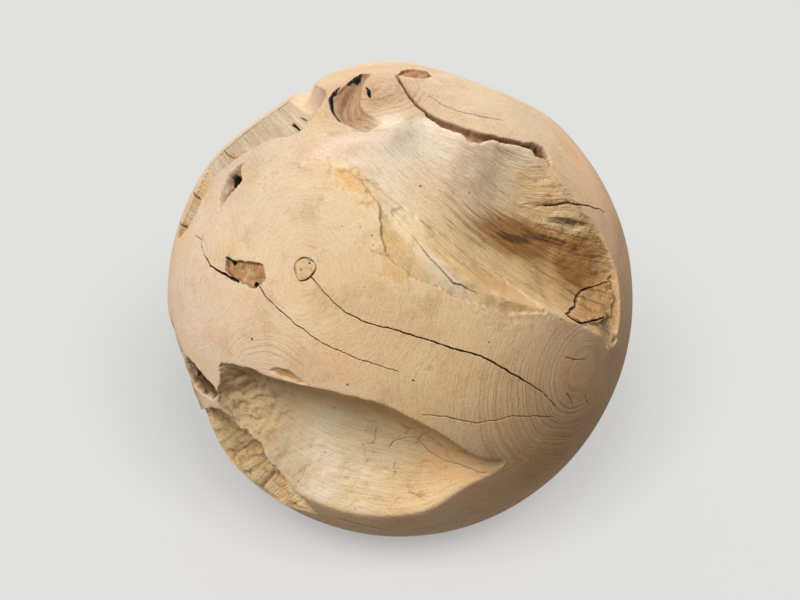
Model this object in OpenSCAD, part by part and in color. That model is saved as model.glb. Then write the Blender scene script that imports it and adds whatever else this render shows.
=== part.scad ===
// Root-wood ball: one block of root turned to a ball, with the hollows, clefts,
// cracks and knots of the root left open in its skin.
// Frame in mm: +Z up, origin at the point where the ball touches the floor.
// The show face looks to -Y and is tilted up by face_lift.
// A place on the ball is [east, north]: degrees right of and above the middle of the show face.

/* [Ball] */
// width of the turned ball across its girth
ball_w = 464; // [400:1:540]
// height of the turned ball
ball_h = 479; // [415:1:560]
// tilt of the show face above level, degrees
face_lift = 32; // [20:1:45]

/* [Hollows] */
// greatest depth of the lower scoop under the skin
scoop_depth = 40; // [26:1:55]
// greatest depth of the upper hollow under the skin
hollow_depth = 34; // [18:1:50]
// greatest depth of the split on the upper left
cleft_depth = 32; // [18:1:45]
// greatest depth of the bark-lined split on the lower left
bark_depth = 26; // [14:1:40]
// greatest depth of the cove beside the top knob
cove_depth = 13; // [6:1:22]
// depth of the crusty flat on the left side
flat_depth = 11; // [5:1:16]
// depth of the two worn flats on the upper rim
worn_depth = 7; // [3:0.5:12]

/* [Crevices and cracks] */
// depth of the crevice under the top lip
crevice_depth = 14; // [8:1:24]
// depth of the slots around the top knob
knob_slot_depth = 26; // [12:1:40]
// depth of the drying cracks under the surface they run in
crack_depth = 10; // [5:1:20]
// width of the drying cracks at their widest
crack_w = 1.9; // [1.2:0.1:3]
// depth of the open holes
hole_depth = 24; // [10:1:40]

/* [Knots] */
// depth of the square knot patch
patch_depth = 5; // [2:0.5:10]
// diameter of the round knot
knot_d = 22; // [16:0.5:30]
// width of the open ring around the round knot
knot_ring_w = 1.8; // [1:0.1:3]
// depth of the open ring around the round knot
knot_ring_depth = 6; // [3:0.5:12]
// depth of the small scar above the lower scoop
scar_depth = 4; // [2:0.5:8]

/* [Output] */
// which node to draw

/* [Hidden] */
half_w = ball_w / 2;
half_h = ball_h / 2;
// facets around the girth, around a round knot and around a blade
skin_facets = 74;
knot_facets = 26;
blade_sides = 5;
// how far the cutting bodies stand out of the skin, and the ring's core out of its ring
proud = 30;
overcut = 1;
// steps between two stations of a loft, and across its section
steps_along = 3;
steps_across = 10;
// a blade's foot as a share of its width at the skin
blade_foot = 0.3;
wood_colour = [0.84, 0.72, 0.56];

// Stations of a hollow, from one end to the other:
// [upper edge, deepest line, lower edge, share of the greatest depth].
scoop_stations = [
  [[-45, -13.5], [-46.5, -16.5], [-49.5, -22.5], 0.02],
  [[-36, -14.7], [-39.9, -19], [-49, -29], 0.58],
  [[-26, -17.3], [-31.1, -23.5], [-43, -38], 0.88],
  [[-15, -19.2], [-21, -28], [-36, -49.5], 0.97],
  [[-3.4, -22.2], [-7.5, -32.2], [-18, -56.5], 1.00],
  [[7.6, -28], [7.5, -36], [6.4, -55.5], 0.85],
  [[19.7, -35.3], [20, -38.3], [20.5, -45], 0.40],
  [[29.5, -37.4], [29.6, -38], [29.8, -39.2], 0.03],
];
hollow_stations = [
  [[-27, 37.2], [-26, 34], [-24.4, 30.2], 0.05],
  [[-14.5, 37.0], [-14, 33], [-14.1, 28.7], 0.18],
  [[-3.9, 37.5], [-4, 30], [-6.2, 22.9], 0.30],
  [[6.7, 42], [5, 29], [-1.8, 16.7], 0.44],
  [[17.8, 36.5], [14, 24], [5.6, 11.3], 0.65],
  [[29, 35.2], [25, 21], [14, 5], 0.88],
  [[38.3, 31], [34, 18], [23.4, 0.8], 1.00],
  [[45.1, 22.2], [41, 12], [31.4, -1.4], 0.98],
  [[52.7, 14.2], [48, 6.5], [38, -3.4], 0.80],
  [[58.1, 5.6], [53, 1], [43.8, -5.1], 0.52],
  [[60, -5.7], [56, -6.3], [51.2, -7.9], 0.22],
  [[57, -10.6], [56.5, -10.9], [56, -11.2], 0.03],
];
cleft_stations = [
  [[-71.5, 14], [-70, 13.8], [-68.5, 13.6], 0.05],
  [[-67, 18.3], [-63, 17.2], [-60.5, 17], 0.32],
  [[-65, 25], [-60, 23.2], [-57, 23], 0.46],
  [[-65.5, 33], [-59.5, 28.8], [-56.5, 28], 0.53],
  [[-60, 38.5], [-52, 34], [-48.2, 32.8], 0.66],
  [[-55, 43], [-43, 38.5], [-38, 36.6], 0.90],
  [[-50, 47.5], [-33, 41], [-28, 38.5], 1.00],
  [[-47, 52], [-32, 50], [-26.5, 50.5], 0.88],
  [[-57, 55.5], [-46, 55], [-37, 57], 0.50],
  [[-70, 59.5], [-62, 65], [-57, 67.2], 0.40],
  [[-101, 64], [-103, 67], [-104, 69], 0.06],
];
bark_stations = [
  [[-51, -24.5], [-70, -26.5], [-92, -29], 0.75],
  [[-45.5, -29], [-58, -30.5], [-90, -35], 0.72],
  [[-42.8, -34.5], [-50, -35.8], [-84, -40.5], 0.90],
  [[-40.6, -40], [-46.5, -40.8], [-78, -44.5], 1.00],
  [[-38.6, -45], [-44.5, -46.3], [-75, -50], 0.90],
  [[-37.6, -50.5], [-43, -51.9], [-70, -56], 0.70],
  [[-37.8, -58.2], [-39, -58.6], [-41, -59.2], 0.08],
];
cove_stations = [
  [[-12, 61], [-14, 61], [-16.5, 60.5], 0.25],
  [[-14, 54], [-18, 54], [-20.5, 53.5], 0.80],
  [[-13, 48], [-18, 48], [-22.5, 48.6], 1.00],
  [[-11, 44], [-15, 43], [-18, 41.4], 0.80],
  [[-5, 39.5], [-7, 38], [-9, 36.6], 0.10],
];
// sharpness of the deepest line: 1 gives a round dish, more a V
scoop_sharp = 1.8;
hollow_sharp = 1.0;
cleft_sharp = 2.2;
bark_sharp = 1.8;
cove_sharp = 1.4;

// Runs of crevices and cracks: [east, north, share of the full width],
// and in the upper hollow the share of its depth at which its floor lies there.
crevice_w = 7;
crevice_run = [[-0.8, 57, 0.3], [0.6, 54, 0.35], [2.5, 49.5, 0.35], [5.3, 45, 0.4], [8.3, 42, 0.5],
               [13.4, 39, 0.7], [18.3, 37.2, 1], [24.3, 36, 1], [30.6, 35.3, 0.8], [36.5, 34.4, 1.2],
               [39.6, 33.4, 1.4], [39.9, 31, 0.9]];
knob_slot_w = 6;
knob_slot_runs = [
  [[-17.2, 59.9, 0.7], [-18.5, 57.6, 1], [-19.9, 54.7, 0.7]],
  [[-22.1, 53.4, 0.7], [-23, 51.3, 1.1], [-23, 49, 1.1], [-22, 46.8, 0.8], [-20, 44, 0.6], [-16.5, 40.2, 0.4]],
];
crack_runs = [
  [[-18.3, 4.5, 0.5], [-13.4, -0.6, 0.5], [-10.9, -2.6, 0.6], [-6.9, -4.6, 0.7], [4.9, -7.8, 0.8],
   [10.3, -9.7, 0.9], [17.3, -11.4, 1], [25.7, -15.9, 0.9], [34, -19.8, 0.6], [39.6, -23.5, 0.4]],
  [[-30.4, 2.7, 0.7], [-28, -0.2, 0.7], [-21.6, -4.9, 0.7], [-16.2, -8.7, 0.6], [-7.1, -12.6, 0.5],
   [-0.3, -14.6, 0.35]],
  [[-49.1, 14.5, 0.4], [-50.4, 11.8, 0.5], [-46.5, 8, 0.7], [-40.1, 4.9, 1], [-34.6, 3.1, 1.3]],
  [[35.8, 24.5, 0.6, 0.87], [40.4, 23.3, 0.8, 0.62], [43.8, 22.3, 0.9, 0.25], [46.5, 21.2, 1], [52.2, 20.8, 0.9],
   [58.6, 20.2, 0.6]],
  [[57.4, 5.5, 0.6, 0.11], [54.4, 3.6, 0.8, 0.49], [51.1, 2.4, 0.9, 0.64], [47.8, 0.7, 0.9, 0.64],
   [44.9, -1.4, 0.9, 0.47], [39, -3, 0.8, 0.12]],
  [[39, -3, 0.8, 0.12], [40.7, -4.2, 1], [43.5, -5.1, 1.2], [51.9, -4.7, 1.4, 0.33]],
];
hole_w = 12;
hole_runs = [
  [[-44.4, 30.2, 0.7], [-44.6, 28.2, 1.6], [-45.2, 26, 1.3], [-46.3, 22, 0.5]],
  [[-39.9, 9.1, 0.3], [-36.3, 7.3, 0.45]],
  [[-31.2, 3.2, 0.6], [-30.6, 2.8, 0.6]],
  [[-58.7, -14.8, 0.7], [-56.6, -17.1, 0.5]],
  [[-53, -18.7, 0.7], [-50.4, -20.1, 0.4]],
  [[-10.8, 51.4, 0.25], [-9.6, 48.2, 0.45]],
  [[-46.6, -48.3, 0.5], [-41, -48, 0.7]],
  [[50.5, -3.8, 0.9], [52.5, -3.9, 0.7]],
];
patch_corners = [[-40, 8.6, 1], [-29.6, 7.4, 1], [-29.6, 4.9, 1], [-34, 3.6, 1], [-39.6, 5.6, 1]];
scar_run = [[-28.6, -14.6, 0.7], [-24.3, -15.6, 1], [-20.6, -17.1, 0.5]];
scar_w = 7;
knot_place = [-19.7, 6.4];
flat_place = [-80, -20];
worn_places = [[60, 67], [-71, 54.5]];

// Unit direction of a place, from the middle of the ball.
function place_dir(p) =
  let (right = cos(p[1]) * sin(p[0]), up = sin(p[1]), out = cos(p[1]) * cos(p[0]))
  [right, up * sin(face_lift) - out * cos(face_lift), up * cos(face_lift) + out * sin(face_lift)];

// Distance from the middle of the ball to its skin along a direction.
function skin(d) = 1 / norm([d[0] / half_w, d[1] / half_w, d[2] / half_h]);

// Point under the skin at a place; a negative depth stands proud of it.
function under(p, deep) = let (d = place_dir(p)) d * (skin(d) - deep);

// Smooth run through stations a, b, c, d: the value at share t between b and c.
function between(a, b, c, d, t) =
  b + (c - a) * t / 2 + (a - 2.5 * b + 2 * c - d / 2) * t ^ 2 + (1.5 * b - a / 2 - 1.5 * c + d / 2) * t ^ 3;

// One station at step k of a run of stations.
function station(run, k) =
  let (i = min(floor(k / steps_along), len(run) - 2), t = k / steps_along - i)
  let (a = run[max(i - 1, 0)], b = run[i], c = run[i + 1], d = run[min(i + 2, len(run) - 1)])
  [for (j = [0:3]) between(a[j], b[j], c[j], d[j], t)];

// Section of a hollow at a station: a conic from edge to edge, closed outside the skin.
function section(s, deep, sharp) =
  let (edge_a = under(s[0], 0), edge_b = under(s[2], 0))
  let (pull = under(s[1], deep * s[3] * (1 + 1 / sharp)))
  concat(
    [for (k = [0:steps_across])
      let (t = k / steps_across, a = (1 - t) ^ 2, m = 2 * sharp * t * (1 - t), b = t ^ 2)
      (a * edge_a + m * pull + b * edge_b) / (a + m + b)],
    [under(s[2], -proud), under(s[0], -proud)]);

// Body that a hollow takes out of the ball: sections lofted along its stations.
module hollow(run, deep, sharp) {
  last = (len(run) - 1) * steps_along;
  rings = [for (k = [0:last]) section(station(run, k), deep, sharp)];
  n = len(rings[0]);
  sides = [for (k = [0:last - 1], j = [0:n - 1])
    let (a = k * n + j, b = k * n + (j + 1) % n)
    each [[a, b, a + n], [b, b + n, a + n]]];
  start = [for (j = [1:n - 2]) [0, j + 1, j]];
  end = [for (j = [1:n - 2]) [last * n, last * n + j, last * n + j + 1]];
  polyhedron([for (r = rings) each r], concat(sides, start, end));
}

// Stands its children on the skin at a place, their Z pointing out of the ball.
module on_skin(p) {
  d = place_dir(p);
  rotate([0, acos(d[2]), atan2(d[1], d[0])]) translate([0, 0, skin(d)]) children();
}

// Tapered pin from a depth under the skin to outside it.
module blade(p, wide, deep) {
  foot = wide * blade_foot;
  top = foot + (wide - foot) * (deep + proud) / deep;
  on_skin(p) translate([0, 0, -deep]) cylinder(h = deep + proud, d1 = foot, d2 = top, $fn = blade_sides);
}

// Depth under the skin of the surface that a place of a run lies in.
function floor_depth(p) = len(p) > 3 ? hollow_depth * p[3] : 0;

// Slit along a run of places.
module slit(run, wide, deep) {
  for (i = [0:len(run) - 2])
    hull() for (p = [run[i], run[i + 1]]) blade(p, wide * p[2], deep + floor_depth(p));
}

// Open ring around a knot.
module knot_ring() {
  tall = knot_ring_depth + proud;
  core_d = knot_d - 2 * knot_ring_w;
  on_skin(knot_place) translate([0, 0, -knot_ring_depth]) difference() {
    cylinder(h = tall, d = knot_d, $fn = knot_facets);
    translate([0, 0, -overcut]) cylinder(h = tall + 2 * overcut, d = core_d, $fn = knot_facets);
  }
}

// Shallow patch between corners.
module patch(corners, deep) {
  hull() for (c = corners) blade(c, c[2], deep);
}

// Everything outside a flat at a place.
module flat(p, deep) {
  on_skin(p) translate([-half_w, -half_w, -deep]) cube([ball_w, ball_w, deep + proud]);
}

module ball() {
  color(wood_colour) translate([0, 0, half_h]) difference() {
    scale([1, 1, ball_h / ball_w]) sphere(d = ball_w, $fn = skin_facets);
    hollow(scoop_stations, scoop_depth, scoop_sharp);
    hollow(hollow_stations, hollow_depth, hollow_sharp);
    hollow(cleft_stations, cleft_depth, cleft_sharp);
    hollow(bark_stations, bark_depth, bark_sharp);
    hollow(cove_stations, cove_depth, cove_sharp);
    flat(flat_place, flat_depth);
    for (p = worn_places) flat(p, worn_depth);
    slit(crevice_run, crevice_w, crevice_depth);
    for (run = knob_slot_runs) slit(run, knob_slot_w, knob_slot_depth);
    for (run = crack_runs) slit(run, crack_w, crack_depth);
    for (run = hole_runs) slit(run, hole_w, hole_depth);
    slit(scar_run, scar_w, scar_depth);
    patch(patch_corners, patch_depth);
    knot_ring();
  }
}

ball();
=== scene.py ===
"""Looks of the root-wood ball: its turned skin, natural hollows, bark, cracks and colours."""
import math

import bmesh
import bpy
import numpy as np
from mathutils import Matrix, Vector
from mathutils.bvhtree import BVHTree
from mathutils.kdtree import KDTree


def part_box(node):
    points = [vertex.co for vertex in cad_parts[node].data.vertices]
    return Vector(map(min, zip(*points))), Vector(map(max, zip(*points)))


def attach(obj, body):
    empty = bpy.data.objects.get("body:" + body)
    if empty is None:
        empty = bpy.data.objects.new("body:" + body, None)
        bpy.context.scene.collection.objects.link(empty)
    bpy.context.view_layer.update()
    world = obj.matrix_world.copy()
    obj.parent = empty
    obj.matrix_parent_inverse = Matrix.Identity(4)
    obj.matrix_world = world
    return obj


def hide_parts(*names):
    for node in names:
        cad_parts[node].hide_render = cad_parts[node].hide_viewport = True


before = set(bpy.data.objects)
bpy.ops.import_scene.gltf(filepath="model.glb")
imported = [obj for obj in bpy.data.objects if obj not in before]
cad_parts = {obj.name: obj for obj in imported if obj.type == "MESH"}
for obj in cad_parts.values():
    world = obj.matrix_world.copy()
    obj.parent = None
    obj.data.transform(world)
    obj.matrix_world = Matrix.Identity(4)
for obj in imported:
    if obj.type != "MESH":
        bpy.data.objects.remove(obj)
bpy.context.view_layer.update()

MM = 0.001
low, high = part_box("ball")
HALF_W = (high.x - low.x) / 2 / MM
HALF_H = (high.z - low.z) / 2 / MM
MIDDLE = Vector((0, 0, (high.z + low.z) / 2))
MEAN_R = (HALF_W + HALF_H) / 2

# The show face looks at the camera. A place on the ball is (east, north): degrees right of and
# above the middle of the show face, as in the solid's source. Lengths are in mm unless a name says so.
FACE_LIFT = math.radians(32)
RIGHT = np.array([1.0, 0.0, 0.0])
UP = np.array([0.0, math.sin(FACE_LIFT), math.cos(FACE_LIFT)])
TOWARDS = np.array([0.0, -math.cos(FACE_LIFT), math.sin(FACE_LIFT)])


def unit(v):
    return v / np.linalg.norm(v, axis=-1, keepdims=True)


def place_dir(east, north):
    """Direction of a place from the middle of the ball."""
    e, n = np.radians(east)[..., None], np.radians(north)[..., None]
    return RIGHT * np.cos(n) * np.sin(e) + UP * np.sin(n) + TOWARDS * np.cos(n) * np.cos(e)


def place_of(d):
    """East and north of directions, in degrees."""
    return np.degrees(np.arctan2(d @ RIGHT, d @ TOWARDS)), np.degrees(np.arcsin(np.clip(d @ UP, -1, 1)))


def skin(d):
    """Distance from the middle to the turned skin along directions."""
    return 1 / np.sqrt((d[..., 0] ** 2 + d[..., 1] ** 2) / HALF_W**2 + d[..., 2] ** 2 / HALF_H**2)


def dir_of(place):
    """Direction of one place, given as a pair."""
    return place_dir(*np.array(place, float))


def step(x, a, b):
    """0 at a and beyond, 1 at b and beyond, smooth between."""
    t = np.clip((x - a) / (b - a), 0, 1)
    return t * t * (3 - 2 * t)


# Large odd numbers that scatter the values of the noise over its cells.
HASH_AXES = np.array([73856093, 19349663, 83492791])
HASH_SEED, HASH_FIRST, HASH_SECOND = 2654435, 739982445, 695872825
HASH_BITS = 0xFFFFFFFF
OCTAVE_SHIFT = 0.37


def noise(p, size, seed, octaves):
    """Smooth noise between -1 and 1 at points; its lumps are about `size` wide."""
    total, out = 0.0, np.zeros(len(p))
    for octave in range(octaves):
        q = p / (size / 2**octave) + OCTAVE_SHIFT * octave
        i = np.floor(q).astype(np.int64)
        f = q - i
        f = f * f * f * (f * (f * 6 - 15) + 10)
        value = np.zeros(len(p))
        for corner in range(8):
            c = np.array([corner & 1, corner >> 1 & 1, corner >> 2 & 1])
            h = (i + c) * HASH_AXES
            h = (h[:, 0] ^ h[:, 1] ^ h[:, 2] ^ (seed * 8 + octave) * HASH_SEED) & HASH_BITS
            h = ((h ^ (h >> 15)) * HASH_FIRST) & HASH_BITS
            h = ((h ^ (h >> 12)) * HASH_SECOND) & HASH_BITS
            value += ((h ^ (h >> 15)) / 2.0**31 - 1) * np.where(c, f, 1 - f).prod(1)
        out += value / 2**octave
        total += 1 / 2**octave
    return out / total


def crease(value, narrow):
    """1 along the lines where a noise crosses zero, 0 away from them."""
    return np.clip(1 - np.abs(value) * narrow, 0, 1) ** 1.5


def blob(east, north, middle, length, width, slant):
    """Share of a soft patch at places."""
    c, s = math.cos(math.radians(slant)), math.sin(math.radians(slant))
    x = (east - middle[0]) * math.cos(math.radians(middle[1]))
    y = north - middle[1]
    u, v = (x * c + y * s) / length, (y * c - x * s) / width
    return np.exp(-(u * u + v * v))


def most(patches, east, north):
    """Largest share at places of soft patches that each start with a strength."""
    return np.max([strength * blob(east, north, *where) for strength, *where in patches], axis=0)


# Hollows of the solid: stations of upper edge, deepest line, lower edge and share of the depth.
SCOOP = [
    ((-45, -13.5), (-46.5, -16.5), (-49.5, -22.5), 0.02),
    ((-36, -14.7), (-39.9, -19), (-49, -29), 0.58),
    ((-26, -17.3), (-31.1, -23.5), (-43, -38), 0.88),
    ((-15, -19.2), (-21, -28), (-36, -49.5), 0.97),
    ((-3.4, -22.2), (-7.5, -32.2), (-18, -56.5), 1.00),
    ((7.6, -28), (7.5, -36), (6.4, -55.5), 0.85),
    ((19.7, -35.3), (20, -38.3), (20.5, -45), 0.40),
    ((29.5, -37.4), (29.6, -38), (29.8, -39.2), 0.03),
]
HOLLOW = [
    ((-27, 37.2), (-26, 34), (-24.4, 30.2), 0.05),
    ((-14.5, 37.0), (-14, 33), (-14.1, 28.7), 0.18),
    ((-3.9, 37.5), (-4, 30), (-6.2, 22.9), 0.30),
    ((6.7, 42), (5, 29), (-1.8, 16.7), 0.44),
    ((17.8, 36.5), (14, 24), (5.6, 11.3), 0.65),
    ((29, 35.2), (25, 21), (14, 5), 0.88),
    ((38.3, 31), (34, 18), (23.4, 0.8), 1.00),
    ((45.1, 22.2), (41, 12), (31.4, -1.4), 0.98),
    ((52.7, 14.2), (48, 6.5), (38, -3.4), 0.80),
    ((58.1, 5.6), (53, 1), (43.8, -5.1), 0.52),
    ((60, -5.7), (56, -6.3), (51.2, -7.9), 0.22),
    ((57, -10.6), (56.5, -10.9), (56, -11.2), 0.03),
]
CLEFT = [
    ((-71.5, 14), (-70, 13.8), (-68.5, 13.6), 0.05),
    ((-67, 18.3), (-63, 17.2), (-60.5, 17), 0.32),
    ((-65, 25), (-60, 23.2), (-57, 23), 0.46),
    ((-65.5, 33), (-59.5, 28.8), (-56.5, 28), 0.53),
    ((-60, 38.5), (-52, 34), (-48.2, 32.8), 0.66),
    ((-55, 43), (-43, 38.5), (-38, 36.6), 0.90),
    ((-50, 47.5), (-33, 41), (-28, 38.5), 1.00),
    ((-47, 52), (-32, 50), (-26.5, 50.5), 0.88),
    ((-57, 55.5), (-46, 55), (-37, 57), 0.50),
    ((-70, 59.5), (-62, 65), (-57, 67.2), 0.40),
    ((-101, 64), (-103, 67), (-104, 69), 0.06),
]
BARK = [
    ((-51, -24.5), (-70, -26.5), (-92, -29), 0.75),
    ((-45.5, -29), (-58, -30.5), (-90, -35), 0.72),
    ((-42.8, -34.5), (-50, -35.8), (-84, -40.5), 0.90),
    ((-40.6, -40), (-46.5, -40.8), (-78, -44.5), 1.00),
    ((-38.6, -45), (-44.5, -46.3), (-75, -50), 0.90),
    ((-37.6, -50.5), (-43, -51.9), (-70, -56), 0.70),
    ((-37.8, -58.2), (-39, -58.6), (-41, -59.2), 0.08),
]
COVE = [
    ((-12, 61), (-14, 61), (-16.5, 60.5), 0.25),
    ((-14, 54), (-18, 54), (-20.5, 53.5), 0.80),
    ((-13, 48), (-18, 48), (-22.5, 48.6), 1.00),
    ((-11, 44), (-15, 43), (-18, 41.4), 0.80),
    ((-5, 39.5), (-7, 38), (-9, 36.6), 0.10),
]
STEPS_ALONG = 12
STEPS_ACROSS = 32
BEYOND_EDGE = 0.1  # how far a floor runs on past its edges, as a share of its width
END_RISE = 8.0
CAST_MARGIN = 0.03
TINY = 1e-12
NO_FLOOR = 1e3  # stands for the distance of a floor that isn't met
FAR_AWAY = 99.0  # stands for a distance that is too large to matter


def smooth_run(stations):
    """Rows of numbers on a smooth curve through the stations."""
    table = np.array([[*a, *b, *c, share] for a, b, c, share in stations], float)
    padded = np.vstack((table[:1], table, table[-1:]))
    t = np.arange(STEPS_ALONG)[:, None] / STEPS_ALONG
    rows = []
    for i in range(len(table) - 1):
        a, b, c, d = padded[i : i + 4]
        square, cube = a - 2.5 * b + 2 * c - d / 2, 1.5 * b - a / 2 - 1.5 * c + d / 2
        rows.append(b + (c - a) * t / 2 + square * t**2 + cube * t**3)
    return np.vstack(rows + [table[-1:]])


class Floor:
    """Floor of one hollow, lofted through its stations."""

    def __init__(self, stations, depth, sharp, edge_round, wavy, mesh_edge, end_share, relief_from=(0.5, 8)):
        run = smooth_run(stations)
        upper, deepest, lower = (place_dir(run[:, k], run[:, k + 1]) for k in (0, 2, 4))
        edge_a, edge_b = upper * skin(upper)[:, None], lower * skin(lower)[:, None]
        pull = deepest * (skin(deepest) - depth * run[:, 6] * (1 + 1 / sharp))[:, None]
        self.across = np.linspace(-BEYOND_EDGE, 1 + BEYOND_EDGE, STEPS_ACROSS + 1)
        wa, wm, wb = (w[:, None] for w in (
            (1 - self.across) ** 2, 2 * sharp * self.across * (1 - self.across), self.across**2))
        self.grid = (wa * edge_a[:, None] + wm * pull[:, None] + wb * edge_b[:, None]) / (wa + wm + wb)
        n = STEPS_ACROSS + 1
        cell = (np.arange(len(run) - 1)[:, None] * n + np.arange(STEPS_ACROSS)).ravel()
        tris = np.stack((cell, cell + 1, cell + n, cell + 1, cell + n + 1, cell + n), 1).reshape(-1, 3)
        self.tree = BVHTree.FromPolygons(self.grid.reshape(-1, 3).tolist(), tris.tolist(), all_triangles=True)
        self.heart = unit(unit(self.grid).reshape(-1, 3).mean(0))
        self.reach = (unit(self.grid).reshape(-1, 3) @ self.heart).min() - CAST_MARGIN
        self.edge_round, self.wavy, self.mesh_edge, self.end_share = edge_round, wavy, mesh_edge, end_share
        self.relief_from = relief_from
        self.length = np.linalg.norm(np.diff(deepest * skin(deepest)[:, None], axis=0), axis=1).sum()
        self.width = np.linalg.norm(edge_a - edge_b, axis=1).max()
        self.stations = len(run) - 1

    def uv(self, along, across):
        """Places along and across the floor, in mm."""
        return np.stack((along * self.length, across * self.width, np.zeros(len(along))), 1)

    def cast(self, d):
        """Floor's distance along directions (infinite where it has none), and places along and across it."""
        far = np.full(len(d), np.inf)
        along, across = np.zeros(len(d)), np.zeros(len(d))
        near = np.flatnonzero(d @ self.heart > self.reach)
        found, index, hit = [], [], []
        for i in near:
            where, _, face, length = self.tree.ray_cast((0, 0, 0), d[i].tolist())
            if where is not None:
                found.append(i)
                index.append(face)
                hit.append((*where, length))
        if found:
            cell, hit = np.array(index) // 2, np.array(hit)
            row, col = cell // STEPS_ACROSS, cell % STEPS_ACROSS
            p = self.grid[row, col]
            u, v, q = self.grid[row + 1, col] - p, self.grid[row, col + 1] - p, hit[:, :3] - p
            uu, vv, uv = (u * u).sum(1), (v * v).sum(1), (u * v).sum(1)
            qu, qv = (q * u).sum(1), (q * v).sum(1)
            det = uu * vv - uv**2 + TINY
            along[found] = (row + np.clip((qu * vv - qv * uv) / det, 0, 1)) / self.stations
            cell_w = self.across[1] - self.across[0]
            across[found] = self.across[col] + np.clip((qv * uu - qu * uv) / det, 0, 1) * cell_w
            far[found] = hit[:, 3] + END_RISE * step(along[found], self.end_share, 0)
        return far, along, across


# Floors: stations, depth and sharpness as in the solid, roundness of the upper and lower edge, waviness,
# longest mesh edge, share of the length over which the start rises, depths between which relief sets in.
FLOORS = {
    "scoop": Floor(SCOOP, 40, 1.8, (1.6, 6.0), 1.0, 3.6, 0.03),
    "hollow": Floor(HOLLOW, 34, 1.0, (7.0, 14.0), 2.6, 3.5, 0.1, (3, 15)),
    "cleft": Floor(CLEFT, 32, 2.2, (1.5, 2.0), 0.8, 3.4, 0.05),
    "bark": Floor(BARK, 26, 1.8, (2.0, 3.0), 3.0, 2.8, 0.05),
    "cove": Floor(COVE, 13, 1.4, (5.0, 1.5), 1.0, 1.6, 0.1, (0.3, 4)),
}
FLAT_PLACE, FLAT_DEPTH, FLAT_ROUND = (-80, -20), 11, 3.0
WORN_PLACES, WORN_DEPTH, WORN_ROUND = [(60, 67), (-71, 54.5)], 7, 12.0
LEAST_FACING = 0.2  # keeps the plane of a flat from running out of sight

KNOT_PLACE, KNOT_R, KNOT_RING_W = (-19.7, 6.4), 9.4, 1.5


def knot_run():
    """Run of the open ring around the round knot: widest on its lower right."""
    run = []
    for turn in range(0, 361, 15):
        a = math.radians(turn)
        share = 0.45 + 0.75 * max(0.0, math.cos(a + math.radians(50))) ** 2
        far = math.degrees(KNOT_R / MEAN_R * (1 + 0.07 * math.sin(3 * a + 1) + 0.04 * math.sin(5 * a)))
        run.append((KNOT_PLACE[0] + far * math.cos(a), KNOT_PLACE[1] + far * math.sin(a), share))
    return run


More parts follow.
